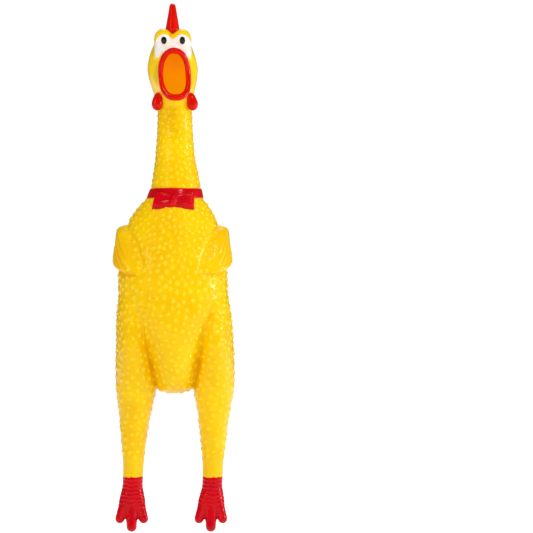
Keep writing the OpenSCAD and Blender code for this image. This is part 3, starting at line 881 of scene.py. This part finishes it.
def outward(points, faces):
    """The faces, turned over if they look inwards."""
    a, b, c, d = (points[faces[:, k]] for k in range(4))
    volume = np.einsum("ij,ij->", a + b + c + d, np.cross(c - a, d - b))
    return faces if volume > 0 else faces[:, ::-1]


def ring_part(name, shape, material, body, node):
    points, faces = shape()
    faces = outward(points - points.mean(axis=0), faces)
    make_object(name, points, faces, material, body, [node], [("crease", np.zeros(len(points)))])


def paint_squeaker():
    """The squeaker keeps the shapes of the CAD."""
    parts = {"squeaker_barrel": ivory, "reed_frame": ivory, "reed_wedge": ivory, "squeaker_cap": ivory,
             "squeaker_reed": film}
    for node, material in parts.items():
        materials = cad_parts[node].data.materials
        materials.clear()
        materials.append(material)


ring_part("beak_rim", lips, bright_red, "head", "beak_lips")
ring_part("collar", collar, red, "torso", "collar_band")
paint_squeaker()

# ---------------------------------------------------------------- the studio

# Name, place, what it points at, size, watts and colour
LIGHTS = [
    ("key", (0.8, -1.5, 1.3), (0, 0, 0.02), 0.4, 7.5, (1, 0.98, 0.95)),
    ("fill", (-1.2, -1.3, 0.5), (0, 0, 0), 0.4, 4.6, (1, 0.8, 0.62)),
    ("side", (1.5, -0.2, 0.2), (0, 0, 0), 0.4, 8, (1, 1, 0.95)),
    ("top", (-0.2, -0.9, 1.5), (0, 0, 0.1), 0.4, 7, (1, 0.98, 0.95)),
    ("back", (0.1, 1.0, 1.2), (0, 0, 0.1), 0.8, 5, (1, 0.99, 0.95)),
]
ROOM_LIGHT, MIRRORED_LIGHT = 0.31, 0.06     # strength of the world as light, and as the skin mirrors it
FLOOR_SIZE, FLOOR_DROP = 8, 0.2             # the chicken is held above the floor
CAMERA_PLACE = (0.0702, -2.0, 0.0111)
CAMERA_LENS = 178


def area_light(name, place, target, size, watts, colour):
    light = bpy.data.lights.new(name, "AREA")
    light.shape, light.size, light.energy, light.color = "DISK", size, watts, colour
    obj = bpy.data.objects.new(name, light)
    obj.location = place
    obj.rotation_euler = (Vector(target) - Vector(place)).to_track_quat("-Z", "Y").to_euler()
    bpy.context.scene.collection.objects.link(obj)


def pale_floor():
    """Matt and pale, and brighter away from the middle, like a studio's white cove."""
    material, tree, shader = plain_material("pale_floor", {
        "Base Color": (0.9, 0.9, 0.9, 1), "Roughness": 0.9, "Specular IOR Level": 0.1,
        "Emission Color": (1, 1, 1, 1),
    })
    place = add_node(tree, "ShaderNodeTexCoord").outputs["Object"]
    away = add_node(tree, "ShaderNodeVectorMath", {0: place}, operation="LENGTH").outputs["Value"]
    tree.links.new(ranged(tree, away, 0.5, 1.6, 0.25, 1.0), shader.inputs["Emission Strength"])
    return material


def studio_world():
    """White to the camera, a soft pale light to matt surfaces, and dim to glossy ones."""
    world = bpy.data.worlds.new("studio")
    world.use_nodes = True
    tree = world.node_tree
    tree.nodes.clear()

    def background(colour, strength):
        return add_node(tree, "ShaderNodeBackground", {"Color": colour, "Strength": strength}).outputs[0]

    def choice(factor, no, yes):
        return add_node(tree, "ShaderNodeMixShader", {0: factor, 1: no, 2: yes}).outputs[0]

    path = add_node(tree, "ShaderNodeLightPath")
    soft = background((1.0, 0.97, 0.94, 1), ROOM_LIGHT)
    room = choice(path.outputs["Is Glossy Ray"], soft, background((1, 1, 1, 1), MIRRORED_LIGHT))
    seen = choice(path.outputs["Is Camera Ray"], room, background((1, 1, 1, 1), 1.0))
    add_node(tree, "ShaderNodeOutputWorld", {"Surface": seen})
    return world


def studio():
    scene = bpy.context.scene
    scene.view_settings.view_transform = "Standard"
    scene.view_settings.look = "None"
    scene.world = studio_world()
    for light in LIGHTS:
        area_light(*light)
    bpy.ops.mesh.primitive_plane_add(size=FLOOR_SIZE, location=(0, 0, GROUND - FLOOR_DROP))
    floor = bpy.context.object
    floor.name = "floor"
    floor.data.materials.append(pale_floor())


def camera():
    data = bpy.data.cameras.new("camera")
    data.sensor_width, data.lens = 36, CAMERA_LENS
    data.clip_start, data.clip_end = 0.1, 50
    obj = bpy.data.objects.new("camera", data)
    obj.location = CAMERA_PLACE
    obj.rotation_euler = (math.pi / 2, 0, 0)
    bpy.context.scene.collection.objects.link(obj)
    bpy.context.scene.camera = obj


studio()
camera()
